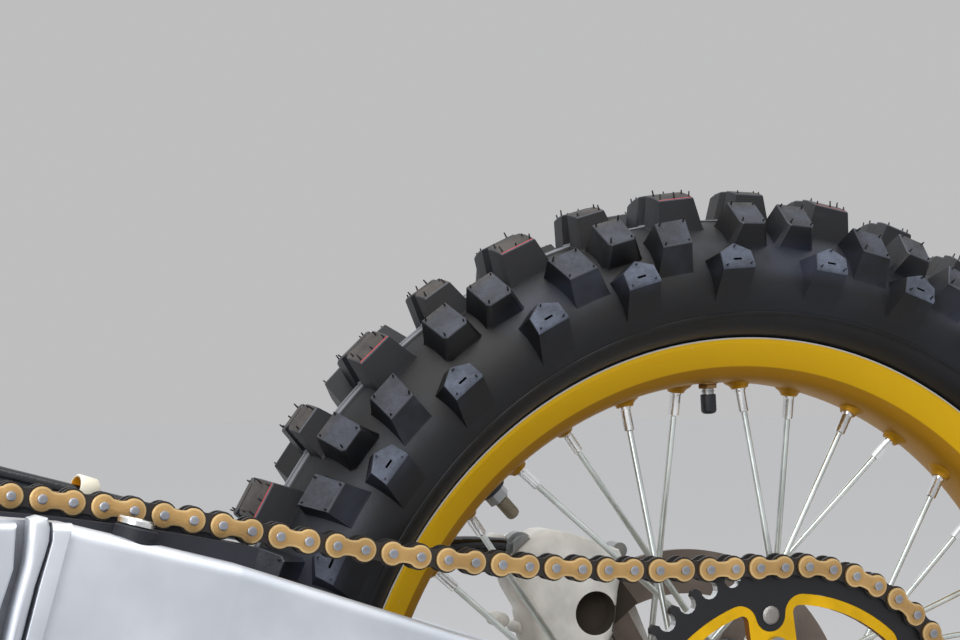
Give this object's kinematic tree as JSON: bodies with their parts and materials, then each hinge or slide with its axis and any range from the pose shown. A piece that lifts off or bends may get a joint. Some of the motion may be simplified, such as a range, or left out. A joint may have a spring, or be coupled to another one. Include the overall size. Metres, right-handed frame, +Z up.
{
  "type": "motocross rear wheel and swingarm assembly",
  "caption": "Rear wheel, chain drive and swingarm of a motocross bike: knobbly tyre on a gold spoked rim, gold roller chain, brake caliper and disc.",
  "frame": {"origin": "middle of the swingarm pivot bore, on the bike's centre plane", "axes": "+X to the rear of the bike, +Y to its right side, +Z up"},
  "size_m": [1.0331, 0.281, 0.6878],
  "materials": {
    "tyre": "matt black rubber with a dusty tread",
    "rim_gold": "gold anodised, satin, worn silver at the flange edge",
    "spoke_steel": "zinc plated wire",
    "nipple_steel": "bright plated",
    "hub_aluminium": "machined forging",
    "bearing_steel": "ground steel with dark seals",
    "ring_black": "black finish, polished in the tooth gaps",
    "carrier_gold": "gold anodised, satin",
    "rivet_steel": "dull steel",
    "bolt_steel": "plated steel",
    "valve_black": "black cap on a brass stem",
    "disc_steel": "stainless band with a light rust bloom",
    "axle_steel": "ground steel",
    "spacer_aluminium": "turned",
    "caliper_casting": "light grey casting with grime",
    "pad_lining": "sintered lining on a steel plate",
    "arm_casting": "shot blasted casting",
    "arm_aluminium": "brushed extrusion with rubbed bright edges",
    "block_aluminium": "machined",
    "slider_plastic": "black wear plastic",
    "bracket_aluminium": "machined plate",
    "hose_rubber": "smooth black sheath",
    "clip_white": "off-white nylon",
    "chain_gold": "gold outer plates, dark inner plates, bright pins",
    "sprocket_steel": "oiled steel"
  },
  "bodies": {
    "swingarm": {"axle": "axle_steel", "axle_nut": "bolt_steel", "axle_washer": "bolt_steel", "banjo_fitting": "bolt_steel", "brake_hose": "hose_rubber", "brake_pads": "pad_lining", "caliper": "caliper_casting", "caliper_bracket": "caliper_casting", "caliper_pins": "bolt_steel", "chain": "chain_gold", "chain_guide": "slider_plastic", "chain_slider": "slider_plastic", "guide_bolts": "bolt_steel", "guide_bracket": "bracket_aluminium", "hose_clips": "clip_white", "left_adjuster": "bolt_steel", "left_axle_block": "block_aluminium", "left_axle_end": "arm_aluminium", "left_leg": "arm_aluminium", "left_spacer": "spacer_aluminium", "pivot_collars": "bolt_steel", "right_adjuster": "bolt_steel", "right_axle_block": "block_aluminium", "right_axle_end": "arm_aluminium", "right_leg": "arm_aluminium", "right_spacer": "spacer_aluminium", "slider_screw": "bolt_steel", "yoke": "arm_casting"},
    "wheel": {"tyre": "tyre", "rim": "rim_gold", "spokes_left": "spoke_steel", "spokes_right": "spoke_steel", "spoke_nipples": "nipple_steel", "hub": "hub_aluminium", "hub_bearings": "bearing_steel", "sprocket_ring": "ring_black", "sprocket_carrier": "carrier_gold", "sprocket_rivets": "rivet_steel", "sprocket_bolts": "bolt_steel", "brake_disc": "disc_steel", "disc_bolts": "bolt_steel", "valve_stem": "valve_black", "rim_lock": "bolt_steel"},
    "front_sprocket": {"front_sprocket": "sprocket_steel"}
  },
  "joints": [
    {"name": "wheel_spin", "type": "hinge", "parent": "swingarm", "child": "wheel", "pos_m": [0.56507, 0, -0.15141], "axis": [0, 1, 0], "continuous": true},
    {"name": "front_sprocket_spin", "type": "hinge", "parent": "swingarm", "child": "front_sprocket", "pos_m": [-0.0845, -0.0785, 0.0113], "axis": [0, 1, 0], "continuous": true}
  ],
  "couplings": [
    {"joint": "front_sprocket_spin", "follows": "wheel_spin", "ratio": 3.6923}
  ]
}
